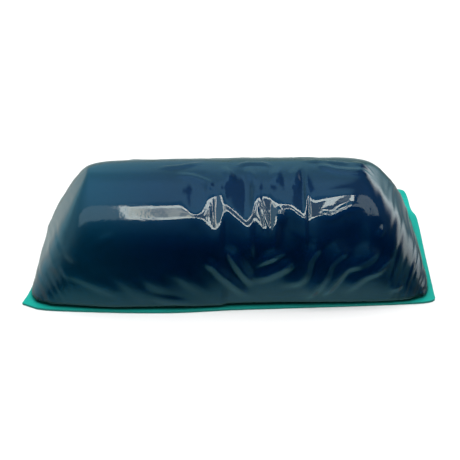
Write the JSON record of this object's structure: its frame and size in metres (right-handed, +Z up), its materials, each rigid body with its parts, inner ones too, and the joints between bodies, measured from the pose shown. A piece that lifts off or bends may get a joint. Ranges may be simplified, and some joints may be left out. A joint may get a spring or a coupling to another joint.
{
  "type": "rosin cake",
  "caption": "Half-round bar of dark bow rosin with sloped ends, wrapped in clear film and bonded to a thin cut backing sheet.",
  "frame": {"origin": "middle of the backing sheet's underside, in length and depth", "axes": "+X along the cake, +Z up out of the backing sheet, -Y towards the front, where the cake's foot almost reaches the sheet's edge"},
  "size_m": [0.0656, 0.0346, 0.0169],
  "materials": {
    "teal_sheet": "satin teal sheet with a cut edge",
    "clear_adhesive": "pale transfer adhesive",
    "dark_rosin": "cast, glassy, dark blue with a green cast where it is thin",
    "clear_film": "thin clear gloss film, tight on the left and creased on the right"
  },
  "bodies": {
    "root": {"backing_sheet": "teal_sheet", "adhesive_layer": "clear_adhesive", "rosin_block": "dark_rosin", "wrap_film": "clear_film"}
  },
  "joints": []
}
